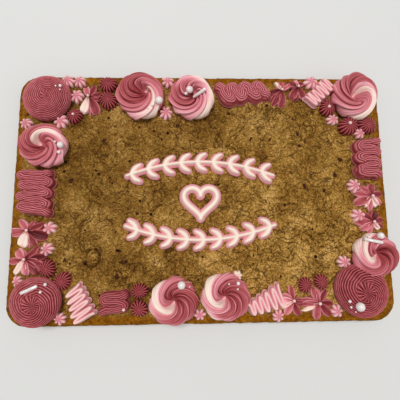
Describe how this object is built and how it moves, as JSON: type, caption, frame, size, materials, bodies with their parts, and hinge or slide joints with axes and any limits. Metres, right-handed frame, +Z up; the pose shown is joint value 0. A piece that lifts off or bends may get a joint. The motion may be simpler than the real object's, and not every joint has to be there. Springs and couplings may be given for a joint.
{
  "type": "frosted rectangular cookie cake",
  "caption": "Thick rectangular baked cookie slab with a border of piped frosting rosettes, zigzags, petal flowers and stars, sugar pearls and rods, and a piped leaf and heart ornament in the middle.",
  "frame": {"origin": "centre of the slab's flat underside, on the surface that it rests on", "axes": "+X along the slab's long side, towards the picture's right; +Y across it, towards the picture's top; +Z up through the frosting"},
  "size_m": [0.4579, 0.305, 0.0433],
  "materials": {
    "baked_cookie": "baked crumb, matte, golden brown with darker specks",
    "marbled_frosting": "smooth buttercream, rose streaked with blush and cream",
    "rose_frosting": "smooth buttercream, dusty rose",
    "blush_frosting": "smooth buttercream, light pink",
    "cream_frosting": "smooth buttercream, cream on a pink underlayer"
  },
  "bodies": {
    "root": {"cookie": "baked_cookie", "rosette_left": "marbled_frosting", "rosette_back_a": "marbled_frosting", "rosette_back_b": "marbled_frosting", "rosette_corner_back_right": "marbled_frosting", "rosette_right": "marbled_frosting", "rosette_front_a": "marbled_frosting", "rosette_front_b": "marbled_frosting", "rosette_corner_back_left": "rose_frosting", "rosette_corner_front_left": "rose_frosting", "rosette_corner_front_right": "rose_frosting", "flower_back_a": "marbled_frosting", "flower_back_b": "marbled_frosting", "flower_back_c": "marbled_frosting", "flower_right_a": "marbled_frosting", "flower_right_b": "marbled_frosting", "flower_front_a": "marbled_frosting", "flower_front_b": "marbled_frosting", "flower_left_a": "marbled_frosting", "flower_left_b": "marbled_frosting", "drop_01": "blush_frosting", "drop_02": "blush_frosting", "drop_03": "blush_frosting", "drop_04": "blush_frosting", "drop_05": "blush_frosting", "drop_06": "blush_frosting", "drop_07": "blush_frosting", "drop_08": "blush_frosting", "drop_09": "blush_frosting", "drop_10": "blush_frosting", "drop_11": "blush_frosting", "drop_12": "blush_frosting", "drop_13": "blush_frosting", "drop_14": "blush_frosting", "drop_15": "blush_frosting", "drop_16": "blush_frosting", "drop_17": "blush_frosting", "drop_twin": "blush_frosting", "button_01": "rose_frosting", "button_02": "rose_frosting", "button_03": "rose_frosting", "button_04": "rose_frosting", "button_05": "rose_frosting", "button_06": "rose_frosting", "button_07": "rose_frosting", "button_08": "rose_frosting", "button_09": "rose_frosting", "button_10": "rose_frosting", "button_11": "rose_frosting", "button_12": "rose_frosting", "zigzag_left": "rose_frosting", "zigzag_back": "rose_frosting", "zigzag_right": "rose_frosting", "zigzag_front": "rose_frosting", "ruffle_back": "blush_frosting", "ruffle_front_a": "blush_frosting", "ruffle_front_b": "blush_frosting", "spray_upper": "cream_frosting", "spray_lower": "cream_frosting", "heart": "cream_frosting"}
  },
  "joints": []
}
